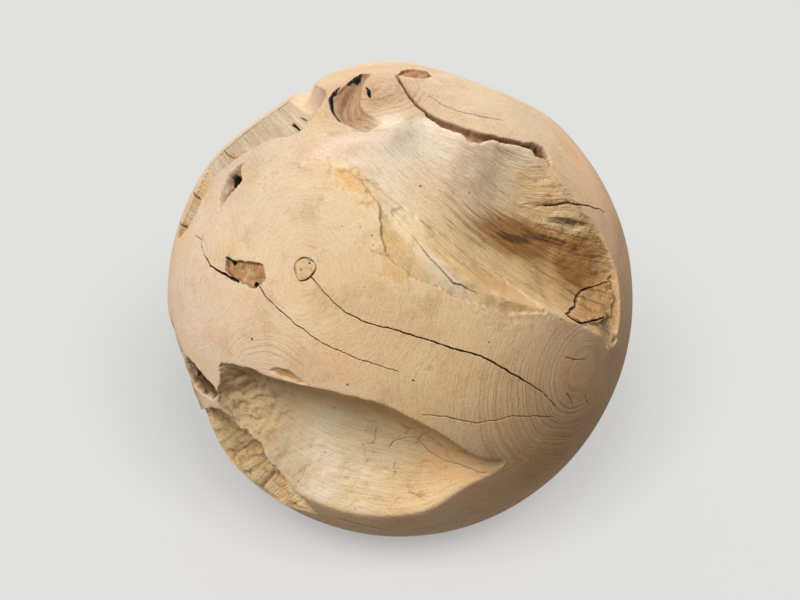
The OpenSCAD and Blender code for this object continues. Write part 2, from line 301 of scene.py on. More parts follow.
# Slits: width, depth and a run of (east, north, share of the width).
CRACK_SLITS = [
    (1.35, 10, [(-18.3, 4.5, 0.6), (-16.6, 2.8, 0.5), (-13.4, -0.6, 0.5), (-10.9, -2.6, 0.6),
        (-6.9, -4.6, 0.7), (-0.1, -6.2, 0.8), (4.9, -7.8, 0.8), (10.3, -9.7, 0.9), (17.3, -11.4, 1),
        (25.7, -15.9, 0.9), (34, -19.8, 0.6), (39.6, -23.5, 0.4)]),
    (1.4, 10, [(-30.4, 2.7, 0.8), (-28, -0.2, 0.8), (-21.6, -4.9, 0.7), (-16.2, -8.7, 0.6),
        (-11.7, -10.9, 0.55), (-7.1, -12.6, 0.5), (-0.3, -14.6, 0.4)]),
    (1.6, 10, [(-50.9, 14.1, 0.7), (-50.5, 12.1, 0.9), (-48.4, 9.6, 0.9), (-45.8, 7.4, 1),
        (-39.5, 5.1, 1.3), (-36, 3.7, 1.5)]),
    (1.6, 8, [(35.8, 24.5, 0.5), (40.4, 23.3, 0.7), (43.8, 22.3, 0.8), (46.5, 21.2, 0.9),
        (52.2, 20.8, 0.8), (58.6, 20.2, 0.5)]),
    (1.4, 8, [(57.4, 5.5, 0.5), (56.8, 4.2, 0.6), (54.4, 3.6, 0.8), (51.1, 2.4, 1), (47.8, 0.7, 0.8),
        (44.9, -1.4, 1), (39, -3, 0.8)]),
    (1.4, 8, [(39, -3, 0.8), (40.7, -4.2, 0.9), (43.5, -5.1, 1), (51.9, -4.7, 1.3), (55.8, -4, 0.9)]),
    (KNOT_RING_W, 5, knot_run()),
    (1.2, 2.5, [(9.5, 48.9, 0.8), (12.6, 45.5, 1), (17.4, 43.3, 0.9), (23.2, 42.4, 0.9),
        (30.8, 41.6, 0.6)]),
    (1.1, 2.5, [(5.1, -24.3, 0.7), (10.8, -24.8, 1), (18.3, -26.5, 1), (27.4, -25.2, 0.9),
        (34.7, -25.7, 0.9), (40.2, -26, 0.7)]),
    (1.1, 2.5, [(42.2, -20.6, 0.8), (44.6, -22.2, 1), (46.9, -24.2, 0.7)]),
    (1.1, 2.5, [(50.2, -21.3, 0.8), (53.9, -24, 0.8)]),
    (1.1, 2.5, [(38.9, -12.2, 0.7), (42, -12.9, 1), (46.5, -12.9, 0.7)]),
    (1.1, 2.5, [(-55.1, 14.6, 0.7), (-51.1, 13.5, 1)]),
    (1.6, 3, [(-62.1, 36.8, 1), (-60.2, 36.3, 1.2), (-58.3, 36.1, 0.8)]),
    (2.4, 4, [(-71.7, 18.4, 0.8), (-66, 17.2, 1), (-61.1, 16.5, 0.8)]),
    (2.4, 4, [(-69.1, 25.8, 0.8), (-66, 25, 1.1), (-63.6, 24.3, 0.8)]),
    (2.2, 4, [(-40, -58.8, 0.6), (-27, -61, 1), (-15.6, -64.9, 1), (-0.3, -68.1, 0.6)]),
    (1.0, 2.5, [(50.6, 37.3, 0.7), (51.6, 35.4, 1), (52.7, 33.6, 1), (54.1, 31.8, 0.6)]),
    (1.3, 3, [(2.6, 13, 0.3), (4.9, 9.9, 0.6), (7.1, 7.5, 0.9), (9.1, 5.6, 0.7), (10.9, 3.2, 1.3),
        (14, 2.4, 0.7), (15.7, 1.6, 0.4)]),
    (1.8, 4, [(2.5, 57.6, 0.5), (6, 56.9, 1), (9.4, 57, 1.2), (12.4, 58.4, 1.4), (12.8, 60.4, 0.7)]),
    (1.0, 1.6, [(-4.2, -43, 0.6), (-2, -41, 1), (2.5, -39, 1), (6.4, -39, 0.8), (9.8, -42, 1),
        (15.1, -42.6, 1), (19, -41.5, 0.9), (26, -41.4, 0.5)]),
]
HOLE_SLITS = [
    (4, 20, [(-17.2, 59.9, 0.7), (-18.5, 57.6, 1), (-19.9, 54.7, 0.5)]),
    (4, 20, [(-22.1, 53.4, 0.5), (-23, 51.3, 1.2), (-23, 49, 1.1), (-22, 46.8, 0.7), (-20, 44, 0.5),
        (-16.5, 40.2, 0.3)]),
    (3.4, 14, [(-40.2, 9.0, 0.7), (-39.5, 8.6, 1), (-38.2, 7.8, 1.1)]),
    (6, 16, [(-32.2, 3.2, 1), (-31.8, 3.0, 1)]),
    (3.5, 14, [(-11.5, 52.5, 0.5), (-10.7, 51.7, 1), (-10.2, 50.5, 1), (-9.8, 49, 0.5)]),
    (6, 16, [(-46.6, -48.3, 1), (-43, -48, 1.2), (-41, -48, 0.8)]),
    (7, 12, [(-60.5, -14.4, 0.8), (-58.6, -15.2, 1.2), (-57.2, -17, 0.9)]),
    (6, 12, [(-54.5, -17.8, 0.6), (-52.6, -19, 1.3), (-50.3, -20.6, 0.8)]),
    (1.8, 5, [(-40.8, 50.1, 1), (-38.9, 50.1, 0.8)]),
    (3, 8, [(-41.5, 47.6, 1), (-39.1, 46.9, 0.8)]),
]
# Insect holes and small pits: east, north, width.
PIN_HOLES = [
    (-5.8, 13, 1.1), (-5.4, 11.2, 0.9), (-7.2, 11.2, 0.8), (-11.9, 14.9, 0.8), (-8.1, 14.7, 0.7),
    (2.6, -16.6, 1.4), (36, -4, 1.0), (5.1, 26.3, 1.4), (18.2, 26.1, 1.0), (-11.5, -17.3, 1.4),
    (-33.1, -8.2, 2.0), (18.5, -8.5, 1.6), (-12.6, 23, 0.8), (-20.5, -30, 1.3), (-12, -38, 1.2),
    (-27, -43, 1.2), (-18.8, 7.4, 1.4), (-20.6, 6.0, 1.0),
]
PIN_DEPTH, PIN_RUN = 5, 0.15
SLIT_STEP = 0.4
SLIT_WANDER = 1.5


class Slits:
    """Finds how deep the nearest slit is under directions. A higher power gives steeper walls, which start
    a rim's width inside the edge."""

    def __init__(self, slits, power, rim, seed):
        points, half, deep = [], [], []
        for number, (width, depth, run) in enumerate(slits):
            run = np.array(run, float)
            d = place_dir(run[:, 0], run[:, 1]) * MEAN_R
            mile = np.concatenate(([0], np.cumsum(np.linalg.norm(np.diff(d, axis=0), axis=1))))
            at = np.arange(0, mile[-1], SLIT_STEP)
            path = np.stack([np.interp(at, mile, d[:, k]) for k in range(3)], 1)
            wander = np.stack([noise(path, 12, seed + number + 50 * k, 3) for k in range(3)], 1)
            points.append(unit(path + SLIT_WANDER * wander) * MEAN_R)
            ragged = 1 + 0.45 * noise(path, 5, seed + number + 7, 3)
            half.append(np.interp(at, mile, run[:, 2]) * width / 2 * ragged)
            deep.append(np.full(len(at), depth))
        self.points, self.half, self.deep = np.vstack(points), np.concatenate(half), np.concatenate(deep)
        self.power, self.rim = power, rim
        self.tree = KDTree(len(self.points))
        for i, p in enumerate(self.points):
            self.tree.insert(p, i)
        self.tree.balance()

    def cut(self, d):
        """Depth of the slit at directions, distance past its edge, and how deep it is in its middle."""
        depth, past, full = np.zeros(len(d)), np.full(len(d), FAR_AWAY), np.zeros(len(d))
        for k, p in enumerate((d * MEAN_R).tolist()):
            _, i, gap = self.tree.find(p)
            past[k], full[k] = gap - self.half[i], self.deep[i]
            wall = max(self.half[i] - self.rim, 0.4 * self.half[i])
            if gap < wall:
                depth[k] = self.deep[i] * (1 - (gap / wall) ** self.power)
        return depth, past, full


PINS = [(w, PIN_DEPTH, [(east, north, 1), (east + PIN_RUN, north, 1)]) for east, north, w in PIN_HOLES]
CRACKS = Slits(CRACK_SLITS, power=1.3, rim=0.0, seed=1)
HOLES = Slits(HOLE_SLITS + PINS, power=3.0, rim=0.8, seed=31)

# Crevice: run of the lip over it, with its share of the width.
CREVICE = [
    (-1, 58.5, 0.25), (0.6, 54.4, 0.3), (2.5, 49.8, 0.3), (5.3, 45.5, 0.35), (8.3, 42.5, 0.4),
    (13.4, 39.6, 0.6), (18.3, 38, 1.0), (21.5, 37, 1.0), (24.3, 36.7, 0.5), (26.8, 36.4, 0.4),
    (30.6, 36, 0.5), (35.6, 35.3, 0.9), (39.6, 34.6, 1.1), (41.4, 32.8, 0.8), (40.6, 30.4, 0.4),
]
CREVICE_W, CREVICE_DEPTH = 8.0, 7.5

# Outlined patches: depth (negative stands proud), roughness, softness of the wall, corners.
OUTLINES = {
    "left_hole": (7, 0.4, 1.2, [(-43.2, 31), (-43.5, 29.4), (-42.3, 27.8), (-41.3, 26.3), (-42.8, 24.4),
        (-44.2, 23.1), (-46.1, 20.3), (-48.3, 23.1), (-48.2, 25.6), (-48.4, 28.3), (-46.4, 29.6),
        (-44.8, 30.8)]),
    "left_dark": (10, 0.2, 1.2, [(-47.6, 28.3), (-46.8, 29), (-43.7, 27.9), (-42.2, 26.3), (-43.5, 24.9),
        (-46, 26.4)]),
    "scab": (5, 0.9, 1.5, [(-64, -12), (-59, -13.2), (-56, -14.6), (-52.8, -17), (-49.4, -19.2),
        (-48.6, -21.4), (-52, -23), (-57, -21.5), (-64, -19)]),
    "patch": (4, 0.5, 1.0, [(-40.4, 9.1), (-39.1, 8.3), (-33, 7.9), (-29.5, 7), (-29.1, 4.1),
        (-31.5, 2.5), (-34.7, 3.5), (-38.6, 4.8), (-40.3, 6.3)]),
    "ledge": (1.6, 0.5, 2.0, [(-11, 26.7), (-7.5, 23.4), (-4.7, 19.2), (-3.2, 15.6), (-3.3, 11.9),
        (-2.7, 9.5), (-1.1, 7.1), (1.9, 5.3), (5.9, 3), (11.7, 0.2), (18.3, -1.8), (25.2, -2.9),
        (31.4, -2.5), (27, 3), (16, 10), (5, 17), (-1, 22), (-6, 26)]),
    "scar": (2, 0.5, 1.6, [(-29.4, -15), (-27.2, -14.3), (-24.6, -14.9), (-22.3, -16.5), (-20.2, -17.7),
        (-22.8, -17.2), (-26.2, -15.9)]),
    "lens": (2.5, 0.8, 1.5, [(-1, 58.5), (1.1, 61.2), (7, 62.9), (12.4, 61.6), (12.6, 58.9), (9.4, 57),
        (3.8, 57.3)]),
    "pocket": (5, 0.5, 1.5, [(35.1, 35.5), (38.4, 35.6), (41.3, 34.8), (41.3, 32.6), (40.1, 30.4),
        (39.4, 31.5), (36.9, 32.2), (35.7, 34)]),
    "knotty": (-3, 0.4, 2.5, [(39, -3), (44.9, -1.4), (47.8, 0.7), (51.1, 2.4), (54.4, 3.6), (57, 4.8),
        (58.4, 0), (57.8, -4.2), (52.4, -5.1), (43.1, -5.1)]),
    "tail": (2.5, 1.0, 1.5, [(54.6, -5.1), (57.1, -3.7), (58.5, -6), (60.2, -9.1), (58.1, -10.6),
        (56.6, -8.1)]),
}
RAGGED = {"ledge": 4.0}  # how far an outline strays in wide waves


def local(d, heart):
    """Sideways and upward distance of directions from a direction, on the ball's skin there."""
    up = unit(UP - (UP @ heart) * heart)
    side = np.cross(up, heart)
    ahead = np.maximum(d @ heart, 0.05)
    return np.stack((d @ side, d @ up), -1) / ahead[..., None] * MEAN_R


def around(d, places, margin):
    """Which directions lie near places, and both as points of a plane that touches the ball there."""
    dirs = place_dir(*np.array(places, float).T[:2])
    heart = unit(dirs.mean(0))
    near = np.flatnonzero(d @ heart > (dirs @ heart).min() - margin)
    return near, local(d[near], heart), local(dirs, heart)


def segment_gap(q, a, b):
    """Distances of plane points from a segment, and how far along it they lie."""
    run = b - a
    t = np.clip(((q - a) @ run) / (run @ run), 0, 1)
    return np.linalg.norm(q - a - t[:, None] * run, axis=1), t


def inside(d, corners):
    """Distance of directions inside an outline: negative outside."""
    out = np.full(len(d), -FAR_AWAY)
    near, q, ring = around(d, corners, margin=0.02)
    gap, within = np.full(len(near), FAR_AWAY), np.zeros(len(near), bool)
    for a, b in zip(ring, np.roll(ring, -1, axis=0)):
        gap = np.minimum(gap, segment_gap(q, a, b)[0])
        crosses = (a[1] > q[:, 1]) != (b[1] > q[:, 1])
        rise = b[1] - a[1] if b[1] != a[1] else TINY
        within ^= crosses & (q[:, 0] < (b[0] - a[0]) * (q[:, 1] - a[1]) / rise + a[0])
    out[near] = np.where(within, gap, -gap)
    return out


def below_lip(d):
    """Distance of directions below the lip over the crevice, as a share of the crevice's width there."""
    out = np.full(len(d), FAR_AWAY)
    near, q, line = around(d, CREVICE, margin=0.08)
    best, side, wide = np.full(len(near), NO_FLOOR), np.zeros(len(near)), np.ones(len(near))
    for a, b, start, end in zip(line, line[1:], CREVICE, CREVICE[1:]):
        gap, t = segment_gap(q, a, b)
        closer = gap < best
        best = np.where(closer, gap, best)
        turn = (b[0] - a[0]) * (q[:, 1] - a[1]) - (b[1] - a[1]) * (q[:, 0] - a[0])
        side = np.where(closer, -np.sign(turn), side)
        wide = np.where(closer, start[2] + t * (end[2] - start[2]), wide)
    out[near] = best * side / (wide * CREVICE_W)
    return out


FAN = np.array([-0.63, 0.92])  # the fibres of the upper hollow fan out from here: right and up, in radii
FAN_SPREAD = 1.1


def fan(d):
    """Places along and across the fibres of the upper hollow."""
    away = np.stack((d @ RIGHT, d @ UP), 1) - FAN
    turn = FAN_SPREAD * np.arctan2(away[:, 1], away[:, 0])
    return np.stack((np.linalg.norm(away, axis=1), turn, np.zeros(len(d))), 1) * MEAN_R


def soft_min(a, b, width):
    """Smaller of two distances, with the corner rounded over a width."""
    width = np.maximum(width, 1e-3)
    h = np.clip(1 - np.abs(a - b) / width, 0, 1)
    return np.minimum(a, b) - h * h * width / 4


RIDGE_GAP = 6.5  # between the ridges beside the top knob


def floor_relief(name, p, uv, along, across):
    """How much deeper than its smooth form a floor is at points."""
    if name == "scoop":
        knobbly = step(along, 0.38, 0.16)
        wrinkles = 3.6 * crease(noise(p, 14, 22, 3), 2.4) + 2.6 * noise(p, 22, 24, 2)
        wrinkles += 1.5 * noise(p, 6, 25, 2)
        ripples = 1.3 * noise(p, 34, 21, 2) + 0.6 * noise(uv * [0.15, 1, 1], 9, 23, 2)
        ripples += 1.2 * crease(noise(p, 20, 26, 3), 3) * step(across, 0.7, 0.85) * step(along, 0.75, 0.6)
        return knobbly * wrinkles + (1 - knobbly) * ripples
    if name == "hollow":
        rough = step(along, 0.4, 0.6)
        relief = (0.6 + rough) * noise(uv * [0.12, 1, 1], 7, 11, 3)
        relief += (0.4 + 1.2 * rough) * noise(uv * [0.3, 1, 1], 34, 13, 2)
        frayed = step(along, 0.5, 0.62) * step(across, 0.55, 0.05)
        shreds = 3.4 * noise(p, 13, 14, 3) + 3.6 * crease(noise(uv * [0.4, 1, 1], 10, 15, 2), 3)
        return relief + frayed * shreds
    if name == "cleft":
        return 0.9 * noise(uv * [1, 0.08, 1], 5, 31, 3) + 1.5 * noise(p, 34, 32, 2)
    if name == "bark":
        furrows = crease(noise(uv * [1, 0.35, 1], 17, 41, 3), 2.6)
        return 5.5 * furrows + 5.0 * noise(p, 20, 42, 2) + 1.6 * noise(uv * [1, 0.3, 1], 5, 43, 2) - 3.0
    turns = uv[:, 1] / RIDGE_GAP + noise(uv * [0.4, 1, 1], 16, 51, 2)
    return 1.7 * np.sin(math.tau * turns) + 1.5 * noise(uv * [0.2, 1, 1], 5, 52, 2)


# Soft patches are middle, half length, half width (degrees) and slant, in some tables after a strength.
KNOB = ((-8, 49.5), 5, 8, 0)
KNOB_FIBRES = [1, 0.35, 0]
FLAKY = [
    (0.9, (-9, 24), 12, 3.5, -38),
    (0.7, (-2, 8), 8, 4, -50),
    (0.5, (24, -3), 10, 3, -20),
    (0.5, (-25, 26), 6, 6, 0),
]
TORN_DEPTH = 1.1
FRAYED_START, FRAY = ((-47, -18), 6, 7, 0), 4.0  # where the scoop's edge strays more, and how much more

# Longest edge on the plain back, on the show side, at lips, on torn wood, around holes and along cracks.
EDGE_BACK, EDGE_SHOW, EDGE_LIP, EDGE_TORN, EDGE_HOLE, EDGE_CRACK = 12.0, 8.0, 2.6, 2.2, 1.6, 0.8
GRADE = 2.2  # growth of the edges with the distance from a crack
BEND = math.cos(math.radians(26))  # where the surface bends more than this, its edges are as short as at lips
FIRST_SPLITS, PASSES = 5, 9


def knob_relief(d):
    """How much deeper than the turned skin the fibrous top of the knob is."""
    q = local(d, dir_of(KNOB[0]))
    q = np.column_stack((q, np.zeros(len(d)))) * KNOB_FIBRES
    return 2.2 * noise(q, 6, 59, 2) + 1.8 * crease(noise(q, 11, 60, 3), 3)


def plane_r(d, place, depth):
    """Distance along directions to a plane that lies a depth under the skin of a place."""
    middle = dir_of(place)
    return (skin(middle) - depth) / np.maximum(d @ middle, LEAST_FACING)


# Each cut takes directions, their points on the skin, distances and facts, and returns the new distances.
def cut_flats(d, p, r, facts):
    """Crusty flat at the left and two worn flats."""
    crust = 3.0 * noise(p, 20, 5, 3)
    flat_r = plane_r(d, FLAT_PLACE, FLAT_DEPTH) - crust
    facts["flat"] = step(r - flat_r, 0, 3)
    facts["relief"] = facts["flat"] * crust
    r = soft_min(r, flat_r, FLAT_ROUND)
    for place in WORN_PLACES:
        r = soft_min(r, plane_r(d, place, WORN_DEPTH), WORN_ROUND)
    return r


def cut_floor(name, d, p, r, facts):
    """One hollow with its relief and its rounded edges."""
    floor = FLOORS[name]
    sway = np.stack([noise(p, 26, 100 + k, 2) for k in range(3)], 1) * floor.wavy / MEAN_R
    if name == "scoop":
        sway *= 1 + FRAY * blob(*place_of(d), *FRAYED_START)[:, None]
    far, along, across = floor.cast(unit(d + sway))
    inner = np.isfinite(far)
    uv = fan(d) if name == "hollow" else floor.uv(along, across)
    taper = step(across, -BEYOND_EDGE, 0) * step(across, 1 + BEYOND_EDGE, 1) * step(along, 1, 0.97)
    upper, lower = floor.edge_round
    rounding = (upper + (lower - upper) * step(across, 0.3, 0.7)) * taper
    relief = floor_relief(name, p, uv, along, across)
    deep = np.where(inner, skin(d) - far, 0)
    cut = np.where(inner, far - relief * step(deep, *floor.relief_from), NO_FLOOR)
    soft = np.maximum(rounding, 1.2) * 0.5
    facts[name] = np.where(inner, step(r - cut, -soft, soft), 0)
    facts["mesh_edge"] = np.where(facts[name] > 0.3, floor.mesh_edge, facts["mesh_edge"])
    facts["relief"] = np.where(facts[name] > 0.5, relief, facts["relief"])
    facts[name + "_along"], facts[name + "_across"], facts[name + "_uv"] = along, across, uv
    return soft_min(r, cut, rounding)


def tear_wood(d, p, r, facts):
    """Torn flakes beside the upper hollow and the fibres on the knob."""
    east, north = place_of(d)
    torn = step(most(FLAKY, east, north), 0.2, 0.5)
    tear = noise(p, 17, 57, 3)
    facts["torn"], facts["tear"] = torn * step(tear, -0.05, 0.05), torn * crease(tear, 12)
    knob = step(blob(east, north, *KNOB), 0.25, 0.7)
    finer = np.minimum(facts["mesh_edge"], EDGE_TORN)
    facts["mesh_edge"] = np.where((torn > 0.1) | (knob > 0.1), finer, facts["mesh_edge"])
    return r - TORN_DEPTH * facts["torn"] - knob * knob_relief(d)


def cut_crevice(d, p, r, facts):
    """Crevice: deepest right under the top lip, running out downwards."""
    share = (below_lip(d) + 0.25 * noise(p, 9, 55, 3)) * (1 + 0.5 * noise(p, 16, 56, 2))
    facts["crevice"] = step(share, -0.12, 0.02) * step(share, 1.0, 0.6)
    # The strip just under the lip gets painted shade in the colours.
    facts["under_lip"] = step(share, -0.14, 0.0) * step(share, 0.35, 0.1)
    return r - CREVICE_DEPTH * step(share, -0.12, 0.08) * step(share, 1.2, 0.1)


def cut_outlines(d, p, r, facts):
    """Outlined patches."""
    facts["outline_edge"] = np.full(len(d), FAR_AWAY)
    for number, (name, (deep, rough, wall, corners)) in enumerate(OUTLINES.items()):
        stray = RAGGED.get(name, 0) * noise(p, 18, 97, 2)
        margin = inside(d, corners) + 1.6 * noise(p, 7, 61 + number, 3) + stray
        facts[name] = step(margin, -wall / 2, wall / 2)
        facts["outline_edge"] = np.minimum(facts["outline_edge"], np.abs(margin))
        r = r - facts[name] * (deep + rough * abs(deep) * noise(p, 7, 75 + number, 2))
        # The inside of the left hole's deeper pit gets painted shade.
        if name == "left_dark":
            facts["dark_gap"] = -margin
    return r


def sculpt(d):
    """Distance from the middle along directions, with what the colours need to know about each of them."""
    bare = skin(d)
    p = d * bare[:, None]
    facts = {"mesh_edge": np.full(len(d), FAR_AWAY)}
    r = cut_flats(d, p, bare + 0.6 * noise(p, 80, 2, 2), facts)
    for name in FLOORS:
        r = cut_floor(name, d, p, r, facts)
    facts["depth"] = bare - r
    for cut in (tear_wood, cut_crevice, cut_outlines):
        r = cut(d, p, r, facts)
    knot = np.linalg.norm(local(d, dir_of(KNOT_PLACE)), axis=1)
    facts["knot"] = step(knot, KNOT_R + 0.5, KNOT_R - 0.5) * (d @ TOWARDS > 0)
    crack, facts["crack_gap"], facts["crack_full"] = CRACKS.cut(d)
    hole, facts["hole_gap"], _ = HOLES.cut(d)
    return r - np.maximum(crack, hole), facts


# What a triangle with halved edges is split into: 0 to 2 are its corners, 3 to 5 the middles of its edges.
ONE_OR_TWO_HALVED = [
    ((True, False, False), [(0, 3, 2), (3, 1, 2)]),
    ((True, True, False), [(3, 1, 4), (0, 3, 4), (0, 4, 2)]),
]
ALL_HALVED = [(0, 3, 5), (3, 1, 4), (5, 4, 2), (3, 4, 5)]


def split_long(d, tris, r, limit):
    """Directions of new points that halve each edge longer than its limit, and the triangles with them."""
    p = d * r[:, None]
    edges = np.sort(np.vstack((tris[:, [0, 1]], tris[:, [1, 2]], tris[:, [2, 0]])), axis=1)
    edges, which = np.unique(edges, axis=0, return_inverse=True)
    a, b = edges.T
    normal = unit(np.cross(p[tris[:, 1]] - p[tris[:, 0]], p[tris[:, 2]] - p[tris[:, 0]]))
    sides = (np.argsort(which.ravel(), kind="stable") % len(tris)).reshape(-1, 2)
    bends = (normal[sides[:, 0]] * normal[sides[:, 1]]).sum(1) < BEND
    bent = np.zeros(len(d), bool)
    bent[edges[bends]] = True
    bent &= d @ TOWARDS > 0
    limit = np.minimum(limit[a], limit[b])
    level, whole = np.linalg.norm(d[a] - d[b], axis=1) * MEAN_R, np.linalg.norm(p[a] - p[b], axis=1)
    long = (np.where(limit < EDGE_LIP, level, whole) > limit) | ((bent[a] | bent[b]) & (level > EDGE_LIP))
    middle = np.full(len(edges), -1)
    middle[long] = len(d) + np.arange(long.sum())
    new = unit(d[a[long]] + d[b[long]])
    m = middle[which.ravel()].reshape(3, -1).T
    out = []
    for turn in range(3):
        order = [turn, (turn + 1) % 3, (turn + 2) % 3]
        six = np.hstack((tris[:, order], m[:, order]))
        for halved, pieces in ONE_OR_TWO_HALVED:
            found = six[((six[:, 3:] >= 0) == halved).all(1)]
            out += [found[:, piece] for piece in pieces]
    found = np.hstack((tris, m))[(m >= 0).all(1)]
    out += [found[:, piece] for piece in ALL_HALVED]
    out.append(tris[(m < 0).all(1)])
    return new, np.vstack(out)


def edge_limit(d, facts):
    """Longest edge allowed at directions: it grows with the distance from cracks and holes."""
    limit = np.where(d @ TOWARDS > -0.1, EDGE_SHOW, EDGE_BACK)
    coarser = 1 + step(d @ TOWARDS, 0.3, 0.0)
    limit = np.minimum(limit, coarser * facts["mesh_edge"])
    limit = np.where(facts["crevice"] > 0.02, EDGE_LIP, limit)
    hole = np.minimum(np.abs(facts["hole_gap"]), facts["outline_edge"])
    limit = np.minimum(limit, np.maximum(EDGE_HOLE, GRADE * hole))
    return np.minimum(limit, np.maximum(EDGE_CRACK, GRADE * (facts["crack_gap"] - EDGE_CRACK / 2)))


def ball_mesh():
    """Directions, triangles, distances and facts of the finished surface."""
    bm = bmesh.new()
    bmesh.ops.create_icosphere(bm, subdivisions=FIRST_SPLITS, radius=1.0)
    d = unit(np.array([v.co for v in bm.verts], float))
    tris = np.array([[v.index for v in f.verts] for f in bm.faces])
    bm.free()
    r, facts = sculpt(d)
    for _ in range(PASSES):
        new, tris = split_long(d, tris, r, edge_limit(d, facts))
        if not len(new):
            break
        new_r, new_facts = sculpt(new)
        d, r = np.vstack((d, new)), np.concatenate((r, new_r))
        facts = {k: np.concatenate((v, new_facts[k])) for k, v in facts.items()}
    return d, tris, r, facts


def tint(red, green, blue):
    """Linear colour of a display colour given in 0 to 255."""
    c = np.array([red, green, blue]) / 255
    return np.where(c <= 0.04045, c / 12.92, ((c + 0.055) / 1.055) ** 2.4)


SANDED = tint(224, 194, 156)
ROSY = tint(234, 207, 180)
GREYED = tint(214, 190, 162)
WARM = tint(232, 190, 144)
STRAW = tint(245, 209, 154)
PALE = tint(255, 238, 212)
OCHRE = tint(230, 190, 134)
HONEY = tint(216, 170, 104)
BROWN = tint(164, 110, 50)
UMBER = tint(94, 65, 36)
BUTTER = tint(250, 220, 168)
SPLIT = tint(238, 218, 188)
BARK_BROWN = tint(252, 210, 156)
BARK_DARK = tint(112, 78, 46)
CRUST = tint(208, 178, 132)
KNOT_BROWN = tint(186, 136, 84)
TOP_BROWN = tint(190, 150, 114)
LIP_BROWN = tint(186, 132, 88)
KNOTTY_TAN = tint(238, 188, 126)
BLUSH = tint(248, 205, 163)
TANNED = tint(206, 172, 128)
GREYISH = tint(204, 190, 164)
# Cream and gold of the scoop's floor: partly the wood's colour, partly painted light that lifts the lip's
# shadow on it.
SCOOP_LIT_CREAM = tint(246, 218, 170)
SCOOP_LIT_GOLD = tint(248, 206, 146)
# Dark of the cracks: partly their own dark lines, partly painted shade that grows with their depth.
CRACK_LINE_SHADE = tint(72, 46, 32)
# Painted shade inside holes, slits and the left hole's deeper pit.
HOLE_SHADE = tint(36, 22, 13)

# Soft patches of colour, after their colour and strength.
PATCHES = [
    (ROSY, 0.9, (-58, 2), 26, 40, 0),
    (GREYED, 0.9, (-44, 34), 24, 14, -20),
    (STRAW, 0.8, (14, -14), 34, 14, -20),
    (WARM, 0.9, (50, -38), 36, 30, -30),
    (WARM, 0.7, (0, -74), 70, 16, 0),
    (WARM, 0.6, (66, 8), 10, 40, 0),
    (GREYED, 0.6, (24, 52), 26, 10, -10),
    (BLUSH, 1.0, (58, 24), 9, 20, 0),
    (TANNED, 0.5, (-5, -2), 12, 8, -40),
    (KNOT_BROWN, 0.25, (-8, 64), 22, 4, 0),
    (TOP_BROWN, 0.75, (-8, 49), 14, 11, 0),
    (KNOT_BROWN, 0.5, (44, -40), 20, 10, 30),
    # partly the wood's pale colour, partly painted light on a spot that turns from the light
    (PALE, 0.8, (3, 38.5), 8, 4, 0),
    (OCHRE, 0.3, (-9, 25), 12, 4, -35),
    (OCHRE, 0.85, (1.5, 16.5), 4.5, 3, -30),
    (BUTTER, 0.7, (4, 9), 12, 5, -45),
]
OUTLINE_TONES = {
    "left_hole": (BARK_DARK, 0.8), "scab": (BARK_DARK, 1.0), "patch": (KNOT_BROWN, 0.9),
    "scar": (KNOT_BROWN, 0.8), "lens": (LIP_BROWN, 1.0), "pocket": (BARK_DARK, 0.6),
    "knotty": (KNOTTY_TAN, 0.9), "tail": (CRUST, 0.7), "knot": (OCHRE, 0.5),
}

# Places with growth lines, the brown stains and the darkest patches of the upper hollow: soft patches after
# their strength.
LINED = [
    (1.0, (46, -26), 32, 24, 0),
    (0.8, (0, -70), 60, 18, 0),
    (0.7, (-27, -10), 14, 4, 0),
    (0.35, (-20, 6), 6, 6, 0),
    (0.3, (-50, 8), 7, 7, 0),
    (0.7, (-7, 48), 12, 8, 0),
]
BROWN_STAINS = [(1, (33, 16), 17, 6.5, -14), (1, (49, 9), 9, 7, -50)]
DARKEST_HOLLOW_PATCHES = [(1, (33, 16), 10, 2.0, -5), (1, (44, 18.8), 6, 1.4, -14)]


def layered(tone, *layers):
    """Colour with others laid over it, each with its share."""
    for colour, share in layers:
        tone = tone + (colour - tone) * np.clip(share, 0, 1)[:, None]
    return tone


def hollow_tone(facts, relief_shade):
    """Colour of the upper hollow, with painted shade where its relief sinks and painted light on part of its
    near wall.
    """
    along, across = facts["hollow_along"], facts["hollow_across"]
    fibre = noise(facts["hollow_uv"] * [0.08, 1, 1], 8, 91, 3)
    return layered(
        PALE,
        (BUTTER, step(along + 0.3 * across, 0.3, 0.7) + 0.3 * fibre),
        (ROSY, 0.5 * step(along, 0.3, 0.15)),
        (HONEY, step(along + 0.2 * across, 0.5, 0.85) * (0.9 + 0.7 * fibre)),
        # painted light on the near wall, which faces away from the light
        (STRAW, 0.7 * step(along, 0.5, 0.62) * step(across, 0.5, 0.75)),
        (OCHRE, 0.6 * step(along, 0.68, 0.82)),
        (BROWN, 0.06 * relief_shade * step(along, 0.45, 0.6)),
    )


def scoop_tone(p, facts, relief_shade):
    """Colour of the lower scoop, partly lightened by painted light, with painted shade under its lip and in
    its sunk relief.
    """
    along, across = facts["scoop_along"], facts["scoop_across"]
    return layered(
        SCOOP_LIT_CREAM,
        (PALE, 0.2 * step(across, 0.5, 0.75) + 0.7 * noise(p, 40, 94, 3)),
        (SCOOP_LIT_GOLD, 0.7 * step(along, 0.5, 0.8)),
        # painted shade on the wall under the lip: darker and warmer
        (HONEY, 0.8 * step(across, 0.55, 0.2) * step(along, 0.1, 0.4)),
        (CRUST, 0.8 * step(along, 0.45, 0.25)),
        (BROWN, 0.07 * relief_shade),
    )


